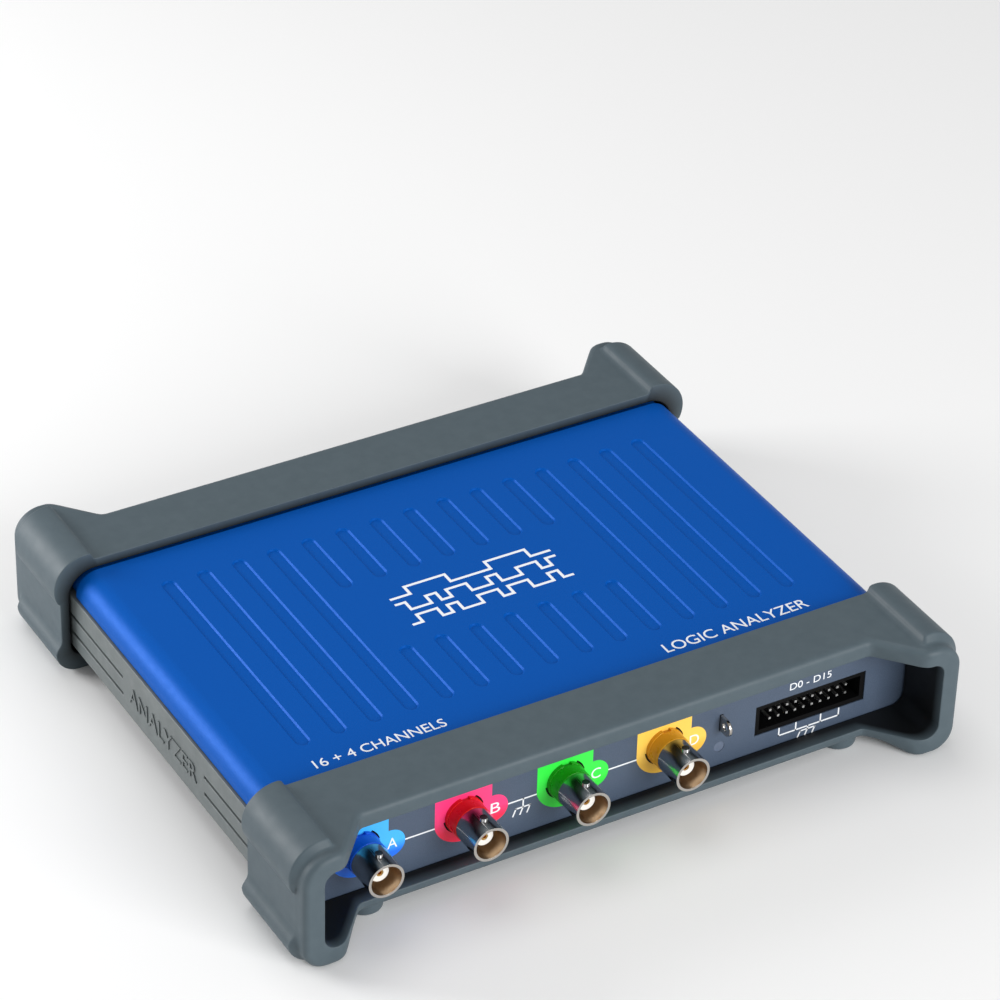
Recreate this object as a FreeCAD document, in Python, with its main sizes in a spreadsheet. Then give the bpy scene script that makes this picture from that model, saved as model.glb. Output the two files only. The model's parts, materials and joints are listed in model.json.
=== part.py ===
"""USB mixed-signal logic analyzer, as a parametric document. Millimetres, +Z up.

The origin is on the surface that the instrument stands on, under the middle of the case.
X runs along the front panel, and -Y points out of the front, where the inputs are.
"""

import FreeCAD, Part
import math
import os
from types import SimpleNamespace

import Sketcher
from FreeCAD import Placement, Rotation, Vector

SIZES = [
    # case: sheet covers, side rails and end panels
    ("case_width", 180.0),          # over the side rails
    ("case_length", 131.0),         # from front overlay to rear overlay
    ("case_height", 25.4),          # from bottom cover to top cover
    ("ground_gap", 5.2),            # bottom cover above the surface it stands on
    ("sheet_wall", 1.5),            # both covers
    ("cover_inset", 0.7),           # covers behind the face of the rails
    ("cover_bend", 6.4),            # outer radius of the top cover's long bends
    ("cover_side", 0.4),            # straight side of the top cover under its bend
    ("tray_bend", 1.8),             # outer radius of the bottom cover's bends
    ("tray_side", 0.2),             # straight side of the bottom cover above its bend
    ("part_gap", 0.3),              # gap left between neighbouring case parts
    ("joggle_drop", 1.0),           # ends of the top cover step down under the bumpers
    ("joggle_reach", 14.1),         # from the panel's face back to that step
    ("rail_wall", 3.4),
    ("rail_web", 2.6),
    ("web_rise", 0.6),              # rail's inner web above its outer wall
    ("groove_width", 1.0),
    ("groove_depth", 0.7),
    ("groove_spacing", 5.2),
    ("groove_drop", 0.8),           # pair of grooves below the middle of the rail
    ("groove_run", 40.0),           # grooves run in this far from each end of the rail
    ("screw_boss_radius", 3.2),
    ("screw_radius", 1.45),
    ("screw_head_radius", 2.7),
    ("screw_inset", 20.0),          # case screws in from the ends of the rails
    # pressed slots in the top cover
    ("slot_pitch", 10.0),
    ("slot_width", 4.0),
    ("slot_depth", 0.5),
    ("slot_length", 76.9),
    ("slot_break", 28.5),           # clear field between the two halves of a split slot
    ("slot_draft", 40.0),
    # end panels
    ("panel_wall", 2.0),
    ("overlay_wall", 0.3),
    ("panel_corner", 3.0),
    ("tongue_length", 8.0),
    ("tongue_wall", 2.4),
    # bumpers
    ("bumper_gap", 0.6),            # all round between case and bumper
    ("bumper_seat_gap", 0.4),       # between the panel and the lip in front of it
    ("bumper_overlap", 12.9),       # how far the sleeve reaches over the case
    ("bumper_side", 2.7),
    ("bumper_top", 2.9),
    ("bumper_floor", 2.0),
    ("lip_reach", 5.2),             # middle of the bumper in front of the panel
    ("ear_reach", 16.6),            # ears in front of the panel
    ("lip_inset", 20.7),            # ends of the set-back middle, in from the ear's side
    ("ear_inset", 10.8),            # inner side of the ears' ends, in from the same side
    ("opening_inset", 5.5),         # side of the opening in the lip, likewise
    ("opening_rise", 0.4),          # opening's lower edge above the panel's
    ("opening_drop", 1.2),          # opening's upper edge below the panel's
    ("opening_corner", 3.4),
    ("ridge_rise", 2.1),            # ear's ridge over the top strip
    ("ridge_foot", 10.5),           # start of the ridge's slope, in from the ear's side
    ("hump_radius", 9.2),
    ("hump_proud", 1.5),            # hump and foot flange stand out of the ear's side
    ("hump_height", 13.4),          # from the hump's lower end to the top of the ear
    ("flange_high", 9.4),
    ("foot_radius", 6.4),
    ("foot_inset", 11.8),           # inner end of the foot, in from the ear's side
    ("foot_slope", 5.5),
    ("pad_radius", 5.0),
    ("pad_inset", 24.7),
    ("pad_setback", 0.4),
    ("edge_round", 1.1),
    # round bayonet connectors
    ("connector_rise", 7.2),        # axis above the board
    ("connector_inset", 20.2),      # first input in from the case's left side
    ("connector_pitch", 28.5),
    ("shell_radius", 4.8),
    ("shell_bore", 4.1),
    ("shell_reach", 13.5),          # rim in front of the panel's face
    ("lug_radius", 1.0),
    ("lug_rise", 0.9),
    ("lug_back", 4.0),              # lugs behind the rim
    ("boss_radius", 5.2),
    ("boss_neck_radius", 5.0),
    ("boss_flange", 1.1),
    ("boss_reach", 4.6),
    ("stem_radius", 4.0),
    ("stem_fit", 0.05),
    ("hole_gap", 0.3),
    ("key_width", 2.2),
    ("key_depth", 1.0),
    ("block_half", 7.0),
    ("block_length", 13.0),
    ("insulator_radius", 2.4),
    ("insulator_recess", 3.3),
    ("contact_radius", 0.9),
    ("contact_bore", 0.5),
    ("generator_inset", 28.0),      # generator output in from the case's side
    ("rear_pitch", 25.0),           # from generator output to trigger input
    # box header for the digital inputs
    ("header_inset", 30.7),         # middle of the header in from the case's right side
    ("header_rise", 4.5),           # its middle above the board
    ("header_width", 32.8),
    ("header_height", 8.8),
    ("header_wall", 1.2),
    ("header_depth", 9.0),
    ("header_floor", 2.4),
    ("pin_pitch", 2.54),
    ("pin_width", 0.64),
    ("pin_recess", 1.1),
    ("pin_columns", 10.0),
    # probe compensation tab and status light
    ("tab_inset", 57.6),
    ("tab_rise", 8.2),
    ("tab_wall", 0.8),
    ("tab_radius", 2.4),
    ("tab_hole", 1.0),
    ("tab_reach", 4.6),
    ("light_inset", 57.8),
    ("light_rise", 0.6),
    ("light_radius", 1.5),
    # sockets in the rear panel
    ("usb_spacing", 24.0),          # from the power jack
    ("usb_width", 12.0),
    ("usb_height", 11.2),
    ("usb_wall", 0.5),
    ("usb_length", 16.0),
    ("power_spacing", 22.0),        # from the earth socket
    ("power_width", 9.0),
    ("power_height", 11.0),
    ("power_length", 14.0),
    ("power_bore", 3.2),
    ("power_pin", 1.0),
    ("earth_inset", 26.0),          # in from the case's left side
    ("earth_bore", 2.0),
    ("earth_radius", 3.6),
    ("earth_flange", 5.0),
    ("earth_length", 16.0),
    # circuit board and what stands on it
    ("board_wall", 1.6),
    ("board_lift", 2.1),            # spacers between bottom cover and board
    ("board_edge", 0.4),            # board's edge inside the screw bosses
    ("spacer_radius", 3.0),
    ("shield_width", 20.0),
    ("shield_length", 30.0),
    ("shield_height", 7.0),
    ("shield_wall", 0.4),
    ("sink_side", 34.0),
    ("sink_height", 10.0),
    ("sink_base", 2.0),
    ("fin_wall", 1.2),
    ("fin_count", 7.0),
    ("processor_side", 23.0),
    ("processor_height", 2.2),
    # cooling fan behind the rear panel
    ("fan_x", 10.0),
    ("fan_side", 20.0),
    ("fan_depth", 8.0),
    ("fan_bore", 9.4),
    ("fan_tip_gap", 0.5),
    ("fan_hub", 4.2),
    ("fan_shaft", 0.8),
    ("fan_fit", 0.05),
    ("fan_blades", 7.0),
    ("grille_bar", 1.4),
    ("grille_slots", 5.0),
]


class Size:
    """A number together with the sheet expression that gives it."""

    def __init__(self, value, text):
        self.value = value
        self.text = text

    def __add__(self, other):
        other = as_size(other)
        return Size(self.value + other.value, f"({self.text} + {other.text})")

    def __sub__(self, other):
        other = as_size(other)
        return Size(self.value - other.value, f"({self.text} - {other.text})")

    def __mul__(self, other):
        other = as_size(other)
        return Size(self.value * other.value, f"({self.text} * {other.text})")

    def __truediv__(self, other):
        other = as_size(other)
        return Size(self.value / other.value, f"({self.text} / {other.text})")

    def __radd__(self, other):
        return as_size(other) + self

    def __rsub__(self, other):
        return as_size(other) - self

    def __rmul__(self, other):
        return as_size(other) * self

    def __neg__(self):
        return as_size(0) - self


def as_size(amount):
    """The amount as a Size; a plain number stands for itself."""
    if isinstance(amount, Size):
        return amount
    return Size(float(amount), f"{float(amount):.6f}")


doc = FreeCAD.newDocument("logic_analyzer")
sheet = doc.addObject("Spreadsheet::Sheet", "Sizes")
for row, (alias, amount) in enumerate(SIZES, start=1):
    sheet.set(f"A{row}", alias)
    sheet.set(f"B{row}", str(amount))
    sheet.setAlias(f"B{row}", alias)
doc.recompute()
S = SimpleNamespace(**{alias: Size(amount, f"Sizes.{alias}") for alias, amount in SIZES})

nodes = {}
counts = {}


# ---------------------------------------------------------------- helpers

def named(kind, stem):
    """A new document object with a numbered name."""
    counts[stem] = counts.get(stem, 0) + 1
    return doc.addObject(kind, f"{stem}_{counts[stem]}")


def keep(label, thing):
    """Thing is a finished sub-part: its label names its file."""
    thing.Label = label
    nodes[label] = thing
    return thing


def bind(thing, prop, amount):
    thing.setExpression(prop, as_size(amount).text)


def place(thing, x, y, z):
    bind(thing, "Placement.Base.x", x)
    bind(thing, "Placement.Base.y", y)
    bind(thing, "Placement.Base.z", z)
    return thing


def box(x, y, z, length, width, height):
    """A block with its lowest corner at x, y, z."""
    block = named("Part::Box", "block")
    bind(block, "Length", length)
    bind(block, "Width", width)
    bind(block, "Height", height)
    return place(block, x, y, z)


TURNS = {
    "+x": Rotation(Vector(0, 1, 0), 90),
    "+y": Rotation(Vector(1, 0, 0), -90),
    "-y": Rotation(Vector(1, 0, 0), 90),
    "+z": Rotation(),
}


def rod(x, y, z, radius, length, along="-y"):
    """A cylinder whose first end is centred on x, y, z."""
    cylinder = named("Part::Cylinder", "rod")
    cylinder.Placement = Placement(Vector(), TURNS[along])
    bind(cylinder, "Radius", radius)
    bind(cylinder, "Height", length)
    return place(cylinder, x, y, z)


def fuse(*shapes):
    joined = named("Part::MultiFuse", "joined")
    joined.Shapes = list(shapes)
    joined.Refine = True
    return joined


def cut(base, *tools):
    result = named("Part::Cut", "cut")
    result.Base = base
    result.Tool = tools[0] if len(tools) == 1 else fuse(*tools)
    result.Refine = True
    return result


def group(*shapes):
    """Separate solids that share one node."""
    together = named("Part::Compound", "group")
    together.Links = list(shapes)
    return together


def new_body(label):
    return keep(label, doc.addObject("PartDesign::Body", label))


NORMALS = {"XY": "+", "XZ": "-", "YZ": "+"}


def new_sketch(body, plane, offset=0):
    """A sketch of body on a plane parallel to one of its origin planes, at that coordinate."""
    counts["sketch"] = counts.get("sketch", 0) + 1
    sketch = body.newObject("Sketcher::SketchObject", f"sketch_{counts['sketch']}")
    support = [f for f in body.Origin.OriginFeatures if f.Role == f"{plane}_Plane"][0]
    sketch.AttachmentSupport = [(support, "")]
    sketch.MapMode = "FlatFace"
    along = as_size(offset) if NORMALS[plane] == "+" else -as_size(offset)
    bind(sketch, "AttachmentOffset.Base.z", along)
    return sketch


def pin_point(sketch, geometry, end, x, y):
    """Ties one point of the sketch to sheet sizes."""
    for kind, axis, amount in (("DistanceX", -2, as_size(x)), ("DistanceY", -1, as_size(y))):
        if amount.value == 0:
            sketch.addConstraint(Sketcher.Constraint("PointOnObject", geometry, end, axis))
            continue
        number = sketch.addConstraint(Sketcher.Constraint(kind, -1, 1, geometry, end, amount.value))
        sketch.setExpression(f"Constraints[{number}]", amount.text)


def outline(sketch, *corners):
    """A closed outline. A corner is x, y, and may add the centre x, y of the arc that leads on
    from it and that arc's sense: 1 for counter-clockwise, -1 for clockwise."""
    ends = []
    for corner, after in zip(corners, corners[1:] + corners[:1]):
        first = Vector(as_size(corner[0]).value, as_size(corner[1]).value, 0)
        last = Vector(as_size(after[0]).value, as_size(after[1]).value, 0)
        if len(corner) == 2:
            number = sketch.addGeometry(Part.LineSegment(first, last))
            ends.append((number, 1, 2))
            continue
        centre = Vector(as_size(corner[2]).value, as_size(corner[3]).value, 0)
        circle = Part.Circle(centre, Vector(0, 0, 1), (first - centre).Length)
        start, finish = (first, last) if corner[4] > 0 else (last, first)
        arc = Part.ArcOfCircle(circle, circle.parameter(start), circle.parameter(finish))
        number = sketch.addGeometry(arc)
        ends.append((number, 1, 2) if corner[4] > 0 else (number, 2, 1))
        chord = last - first
        if abs(chord.x) > abs(chord.y):
            fixed = sketch.addConstraint(Sketcher.Constraint("DistanceY", -1, 1, number, 3, centre.y))
            sketch.setExpression(f"Constraints[{fixed}]", as_size(corner[3]).text)
        else:
            fixed = sketch.addConstraint(Sketcher.Constraint("DistanceX", -1, 1, number, 3, centre.x))
            sketch.setExpression(f"Constraints[{fixed}]", as_size(corner[2]).text)
    for place_in_row, (number, start, _) in enumerate(ends):
        before, _, finish = ends[place_in_row - 1]
        sketch.addConstraint(Sketcher.Constraint("Coincident", before, finish, number, start))
        pin_point(sketch, number, start, corners[place_in_row][0], corners[place_in_row][1])


def circle(sketch, x, y, radius):
    centre = Vector(as_size(x).value, as_size(y).value, 0)
    number = sketch.addGeometry(Part.Circle(centre, Vector(0, 0, 1), as_size(radius).value))
    pin_point(sketch, number, 3, x, y)
    sized = sketch.addConstraint(Sketcher.Constraint("Radius", number, as_size(radius).value))
    sketch.setExpression(f"Constraints[{sized}]", as_size(radius).text)


def rectangle(sketch, x_low, y_low, x_high, y_high):
    outline(sketch, (x_low, y_low), (x_high, y_low), (x_high, y_high), (x_low, y_high))


def round_rectangle(sketch, x_low, y_low, x_high, y_high, corner):
    """A rectangle with four equal round corners, drawn counter-clockwise."""
    outline(
        sketch,
        (x_low + corner, y_low),
        (x_high - corner, y_low, x_high - corner, y_low + corner, 1),
        (x_high, y_low + corner),
        (x_high, y_high - corner, x_high - corner, y_high - corner, 1),
        (x_high - corner, y_high),
        (x_low + corner, y_high, x_low + corner, y_high - corner, 1),
        (x_low, y_high - corner),
        (x_low, y_low + corner, x_low + corner, y_low + corner, 1),
    )


def long_hole(sketch, x, y_low, y_high, width):
    """A slot along the sketch's vertical axis, with round ends, y_low and y_high over all."""
    half = width / 2
    outline(
        sketch,
        (x + half, y_low + half),
        (x + half, y_high - half, x, y_high - half, 1),
        (x - half, y_high - half),
        (x - half, y_low + half, x, y_low + half, 1),
    )


def volume(body):
    doc.recompute()
    return body.Shape.Volume


def pad(body, plane, sketch, length, towards):
    """Adds the sketch's outline to body, towards the plus or minus side of its plane."""
    feature = body.newObject("PartDesign::Pad", f"{body.Name}_pad")
    feature.Profile = sketch
    feature.Reversed = towards != NORMALS[plane]
    bind(feature, "Length", length)
    return feature


def pocket(body, plane, sketch, depth, towards, draft=None):
    """Cuts the sketch's outline out of body, and stops the build if nothing is cut."""
    before = volume(body)
    feature = body.newObject("PartDesign::Pocket", f"{body.Name}_pocket")
    feature.Profile = sketch
    feature.Reversed = towards == NORMALS[plane]
    bind(feature, "Length", depth)
    if draft is not None:
        bind(feature, "TaperAngle", draft)
    if volume(body) > before - 0.01:
        raise RuntimeError(f"{feature.Name} cuts nothing")
    return feature


def row_of(body, feature, sketch, axis, pitch, count):
    """Repeats a feature in a line."""
    pattern = body.newObject("PartDesign::LinearPattern", f"{body.Name}_row")
    pattern.Originals = [feature]
    pattern.Direction = (sketch, [axis])
    bind(pattern, "Length", pitch * (as_size(count) - 1))
    bind(pattern, "Occurrences", count)
    body.Tip = pattern
    doc.recompute()
    return pattern


def dress(body, kind, prop, amount, wanted):
    """Rounds or chamfers those edges of body that wanted says yes to."""
    doc.recompute()
    base = body.Tip
    chosen = [f"Edge{i}" for i, edge in enumerate(base.Shape.Edges, start=1) if wanted(edge)]
    if not chosen:
        raise RuntimeError(f"{body.Name} has no edge to dress")
    feature = body.newObject(f"PartDesign::{kind}", f"{body.Name}_{kind.lower()}")
    feature.Base = (base, chosen)
    bind(feature, prop, amount)
    doc.recompute()
    return feature


# ---------------------------------------------------------------- shared places

half_width = S.case_width / 2
face_y = S.case_length / 2                      # both panels' faces lie at plus and minus this
case_low = S.ground_gap
case_top = S.ground_gap + S.case_height
cover_half = half_width - S.cover_inset
inside_y = face_y - S.overlay_wall - S.panel_wall - S.part_gap      # ends of covers and rails
rail_lift = S.tray_bend + S.tray_side + S.part_gap      # rail's lower edge above the bottom cover
rail_low = case_low + rail_lift
rail_top = case_top - S.cover_bend - S.cover_side - S.part_gap
web_top = rail_top + S.web_rise
web_outer = half_width - S.rail_wall
web_inner = web_outer - S.rail_web
board_low = case_low + S.sheet_wall + S.board_lift
board_top = board_low + S.board_wall
screw_x = web_inner + 0.6 - S.screw_boss_radius
board_half = screw_x - S.screw_boss_radius - S.board_edge
panel_low = case_low
panel_top = case_top - S.joggle_drop
PROCESSOR = (18, 9)                             # middle of the processor and of its heat sink
ear_side = half_width + S.bumper_gap + S.bumper_side
lip_half = ear_side - S.lip_inset
axis_z = board_top + S.connector_rise           # all the round sockets
header_x = half_width - S.header_inset
header_z = board_top + S.header_rise
tab_x = half_width - S.tab_inset
tab_z = board_top + S.tab_rise
light_x = half_width - S.light_inset
light_z = board_top + S.light_rise
first_input = half_width - S.connector_inset
inputs = [(name, S.connector_pitch * k - first_input) for k, name in enumerate("abcd")]
generator_x = half_width - S.generator_inset
rear_sockets = [("generator", generator_x), ("trigger", generator_x - S.rear_pitch)]
earth_x = S.earth_inset - half_width
power_x = earth_x + S.power_spacing
usb_x = power_x + S.usb_spacing


# ---------------------------------------------------------------- case

def cover_section(sketch, half, top, bend, wall, low):
    """The arched section of a cover: an outer line with two bends, and the same line inside."""
    outline(
        sketch,
        (half, low),
        (half, top - bend, half - bend, top - bend, 1),
        (half - bend, top),
        (bend - half, top, bend - half, top - bend, 1),
        (-half, top - bend),
        (-half, low),
        (wall - half, low),
        (wall - half, top - bend, bend - half, top - bend, -1),
        (bend - half, top - wall),
        (half - bend, top - wall, half - bend, top - bend, -1),
        (half - wall, top - bend),
        (half - wall, low),
    )


def top_cover():
    body = new_body("top_cover")
    low = rail_top + S.part_gap
    step_y = face_y - S.joggle_reach
    section = new_sketch(body, "XZ", -step_y)
    cover_section(section, cover_half, case_top, S.cover_bend, S.sheet_wall, low)
    pad(body, "XZ", section, step_y * 2, "+")
    for start in (step_y - 1, -inside_y):
        end = new_sketch(body, "XZ", start)
        drop = S.joggle_drop
        cover_section(end, cover_half - drop, case_top - drop, S.cover_bend - drop, S.sheet_wall, low)
        pad(body, "XZ", end, inside_y - step_y + 1, "+")
    runs = [(-7, 4, False), (4, 4, False), (-3, 7, True)]
    for first, count, split in runs:
        x = S.slot_pitch * first
        half, gap = S.slot_length / 2, S.slot_break / 2
        for y_low, y_high in [(-half, -gap), (gap, half)] if split else [(-half, half)]:
            sketch = new_sketch(body, "XY", case_top)
            long_hole(sketch, x, y_low, y_high, S.slot_width)
            slot = pocket(body, "XY", sketch, S.slot_depth, "-", -S.slot_draft)
            row_of(body, slot, sketch, "H_Axis", S.slot_pitch, count)


def bottom_cover():
    """A shallow tray: flat floor and two short bent sides, with holes for screws and spacers."""
    body = new_body("bottom_cover")
    high = rail_low - S.part_gap
    bend, wall, half = S.tray_bend, S.sheet_wall, cover_half
    section = new_sketch(body, "XZ", -inside_y)
    outline(
        section,
        (half, high),
        (half - wall, high),
        (half - wall, case_low + bend, half - bend, case_low + bend, -1),
        (half - bend, case_low + wall),
        (bend - half, case_low + wall, bend - half, case_low + bend, -1),
        (wall - half, case_low + bend),
        (wall - half, high),
        (-half, high),
        (-half, case_low + bend, bend - half, case_low + bend, 1),
        (bend - half, case_low),
        (half - bend, case_low, half - bend, case_low + bend, 1),
        (half, case_low + bend),
    )
    pad(body, "XZ", section, inside_y * 2, "+")
    holes = new_sketch(body, "XY", case_low)
    for x, y in case_screw_places() + spacer_places():
        circle(holes, x, y, S.screw_radius + S.part_gap)
    pocket(body, "XY", holes, S.sheet_wall, "+")


def case_screw_places():
    y = inside_y - S.screw_inset
    return [(screw_x, y), (screw_x, -y), (-screw_x, y), (-screw_x, -y)]


def spacer_places():
    x = board_half - 8
    return [(x, 16), (x, -16), (-x, 16), (-x, -16), (-10, 44), (24, -44)]


def side_rail(label, turned):
    """The grey strip between the covers: outer wall, inner web, screw bosses and four grooves."""
    body = new_body(label)
    web_low = case_low + S.sheet_wall + S.part_gap
    section = new_sketch(body, "XZ", -inside_y)
    outline(
        section,
        (-half_width, rail_low),
        (-web_outer, rail_low),
        (-web_outer, web_low),
        (-web_inner, web_low),
        (-web_inner, web_top),
        (-web_outer, web_top),
        (-web_outer, rail_top),
        (-half_width, rail_top),
    )
    pad(body, "XZ", section, inside_y * 2, "+")
    bosses = new_sketch(body, "XY", web_low)
    screws = [(x, y) for x, y in case_screw_places() if x.value < 0]
    for x, y in screws:
        circle(bosses, x, y, S.screw_boss_radius)
    pad(body, "XY", bosses, 9, "+")
    grooves = new_sketch(body, "YZ", -half_width)
    middle = (rail_low + rail_top) / 2 - S.groove_drop
    for level in (middle + S.groove_spacing / 2, middle - S.groove_spacing / 2):
        for y_low, y_high in ((-inside_y, S.groove_run - inside_y), (inside_y - S.groove_run, inside_y)):
            rectangle(grooves, y_low, level - S.groove_width / 2, y_high, level + S.groove_width / 2)
    pocket(body, "YZ", grooves, S.groove_depth, "+")
    bores = new_sketch(body, "XY", web_low)
    for x, y in screws:
        circle(bores, x, y, S.screw_radius - 0.2)
    pocket(body, "XY", bores, 8, "+")
    if turned:
        body.Placement = Placement(Vector(), Rotation(Vector(0, 0, 1), 180))


def case_screws():
    """Four self-tapping screws up through the bottom cover into the rails."""
    screws = []
    for x, y in case_screw_places():
        head = rod(x, y, case_low - 1.6, S.screw_head_radius, 1.6, "+z")
        shank = rod(x, y, case_low - 0.2, S.screw_radius - 0.25, 9, "+z")
        screws.append(fuse(head, shank))
    keep("case_screws", group(*screws))


# ---------------------------------------------------------------- end panels

def panel_outline(body, y, length, towards):
    sketch = new_sketch(body, "XZ", y)
    half, low, high = cover_half, S.panel_corner, S.cover_bend
    outline(
        sketch,
        (low - half, panel_low),
        (half - low, panel_low, half - low, panel_low + low, 1),
        (half, panel_low + low),
        (half, panel_top - high, half - high, panel_top - high, 1),
        (half - high, panel_top),
        (high - half, panel_top, high - half, panel_top - high, 1),
        (-half, panel_top - high),
        (-half, panel_low + low, low - half, panel_low + low, 1),
    )
    pad(body, "XZ", sketch, length, towards)


def keyed_hole(sketch, x):
    """A round hole for a connector's boss, with a small keyway at the top."""
    radius = S.boss_radius + S.hole_gap
    half = S.key_width / 2
    top = axis_z + radius + S.key_depth
    side = Size(math.sqrt(radius.value ** 2 - half.value ** 2),
                f"sqrt({radius.text} ^ 2 - {half.text} ^ 2)")
    middle = axis_z
    outline(
        sketch,
        (x + half, top),
        (x - half, top),
        (x - half, middle + side, x, middle, 1),
        (x, middle - radius, x, middle, 1),
        (x + half, middle + side),
    )


def front_openings(body, y, depth):
    sketch = new_sketch(body, "XZ", y)
    for _, x in inputs:
        keyed_hole(sketch, x)
    gap = S.hole_gap / 2
    wide, high = S.header_width / 2 + gap, S.header_height / 2 + gap
    rectangle(sketch, header_x - wide, header_z - high, header_x + wide, header_z + high)
    slot_half = S.tab_wall / 2 + gap
    slot_high = S.tab_radius + gap
    rectangle(sketch, tab_x - slot_half, tab_z - slot_high, tab_x + slot_half, tab_z + slot_high)
    circle(sketch, light_x, light_z, S.light_radius + 0.05)
    pocket(body, "XZ", sketch, depth, "+")


def rear_openings(body, y, depth):
    sketch = new_sketch(body, "XZ", y)
    for _, x in rear_sockets:
        keyed_hole(sketch, x)
    gap = S.hole_gap / 2
    wide = S.usb_width / 2 + gap
    rectangle(sketch, usb_x - wide, board_top - gap, usb_x + wide, board_top + S.usb_height + gap)
    circle(sketch, power_x, board_top + S.power_height / 2, S.power_bore + 1.0)
    circle(sketch, earth_x, axis_z, S.earth_radius + gap)
    span = S.fan_side - 4
    pitch = span / S.grille_slots
    for k in range(int(S.grille_slots.value)):
        low = axis_z - span / 2 + pitch * k + S.grille_bar / 2
        rectangle(sketch, S.fan_x - span / 2, low, S.fan_x + span / 2, low + pitch - S.grille_bar)
    pocket(body, "XZ", sketch, depth, "-")


def front_panel():
    body = new_body("front_panel")
    outer = S.overlay_wall - face_y
    panel_outline(body, outer, S.panel_wall, "+")
    tongues(body, outer + S.panel_wall, "+")
    front_openings(body, outer, S.panel_wall)
    overlay = new_body("front_overlay")
    panel_outline(overlay, -face_y, S.overlay_wall, "+")
    front_openings(overlay, -face_y, S.overlay_wall)


def rear_panel():
    body = new_body("rear_panel")
    outer = face_y - S.overlay_wall
    panel_outline(body, outer, S.panel_wall, "-")
    tongues(body, outer - S.panel_wall, "-")
    rear_openings(body, outer, S.panel_wall)
    overlay = new_body("rear_overlay")
    panel_outline(overlay, face_y, S.overlay_wall, "-")
    rear_openings(overlay, face_y, S.overlay_wall)


def tongues(body, y, towards):
    """Two tongues behind a panel, which clip against the webs of the side rails."""
    sketch = new_sketch(body, "XZ", y)
    outer = web_inner - S.part_gap
    for near, far in ((outer - S.tongue_wall, outer), (-outer, S.tongue_wall - outer)):
        rectangle(sketch, near, board_top + 1, far, panel_top - 5)
    pad(body, "XZ", sketch, S.tongue_length, towards)


# ---------------------------------------------------------------- bumpers

def bumper(label, turned):
    """A moulded rubber sleeve with a lip in front of the panel and an ear at each corner."""
    body = new_body(label)
    back_y = S.bumper_overlap - face_y
    side = ear_side
    inner_top = case_top - S.joggle_drop + S.bumper_gap
    top = inner_top + S.bumper_top
    floor = case_low - S.bumper_gap - S.bumper_floor
    proud = side + S.hump_proud
    apex = top + S.ridge_rise
    hump_x = proud - S.hump_radius
    hump_z = apex - S.hump_radius
    hump_low = apex - S.hump_height
    foot_x = proud + 0.2 - S.foot_radius
    foot_half = side - S.foot_inset
    pad_half = side - S.pad_inset
    ear_half = side - S.ear_inset
    opening_half = side - S.opening_inset
    whole = S.bumper_overlap + S.ear_reach

    section = new_sketch(body, "XZ", back_y)
    right = [
        (side - S.ridge_foot, top),
        (hump_x, apex, hump_x, hump_z, -1),
        (proud, hump_z),
        (side, hump_low),
        (side, S.flange_high),
        (proud + 0.2, S.foot_radius, foot_x, S.foot_radius, -1),
        (foot_x, 0),
        (foot_half, 0),
        (foot_half - S.foot_slope, floor),
    ]
    left = [
        (S.foot_slope - foot_half, floor),
        (-foot_half, 0),
        (-foot_x, 0, -foot_x, S.foot_radius, -1),
        (-proud - 0.2, S.foot_radius),
        (-side, S.flange_high),
        (-side, hump_low),
        (-proud, hump_z, -hump_x, hump_z, -1),
        (-hump_x, apex),
        (S.ridge_foot - side, top),
    ]
    outline(section, *right, *left)
    pad(body, "XZ", section, whole, "-")

    pads = new_sketch(body, "XY", 0)
    pad_y = S.pad_radius + S.pad_setback - face_y - S.lip_reach
    for x in (pad_half, -pad_half):
        circle(pads, x, pad_y, S.pad_radius)
    pad(body, "XY", pads, floor + 0.5, "+")

    front_y = -face_y - S.ear_reach
    lip_y = -face_y - S.lip_reach
    plan = new_sketch(body, "XY", apex + 1)
    outline(
        plan,
        (-ear_half, front_y),
        (-ear_half, front_y - 1),
        (ear_half, front_y - 1),
        (ear_half, front_y),
        (lip_half, lip_y),
        (-lip_half, lip_y),
    )
    pocket(body, "XY", plan, apex + 2, "-")

    cavity = new_sketch(body, "XZ", back_y)
    wide = half_width + S.bumper_gap
    low = case_low - S.bumper_gap
    bend = S.cover_bend + S.part_gap * 3
    slant = rail_lift
    outline(
        cavity,
        (wide - slant, low),
        (wide, low + slant),
        (wide, inner_top - bend, wide - bend, inner_top - bend, 1),
        (wide - bend, inner_top),
        (bend - wide, inner_top, bend - wide, inner_top - bend, 1),
        (-wide, inner_top - bend),
        (-wide, low + slant),
        (slant - wide, low),
    )
    pocket(body, "XZ", cavity, S.bumper_overlap + S.bumper_seat_gap, "-")

    window = new_sketch(body, "XZ", back_y)
    round_rectangle(window, -opening_half, panel_low + S.opening_rise, opening_half,
                    panel_top - S.opening_drop, S.opening_corner)
    pocket(body, "XZ", window, whole, "-")

    def along_lip(edge):
        """The long edges of the set-back lip, above and below its opening."""
        middle = edge.valueAt((edge.FirstParameter + edge.LastParameter) / 2)
        return edge.Length > lip_half.value and abs(middle.y - lip_y.value) < 0.01

    dress(body, "Fillet", "Radius", S.edge_round, along_lip)
    if turned:
        body.Placement = Placement(Vector(), Rotation(Vector(0, 0, 1), 180))


# ---------------------------------------------------------------- connectors

def turn_to(thing, x, rear):
    """Moves a connector piece, made on the front panel at x = 0, to its place."""
    if rear:
        thing.Placement = Placement(Vector(), Rotation(Vector(0, 0, 1), 180))
    bind(thing, "Placement.Base.x", x)
    return thing


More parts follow.
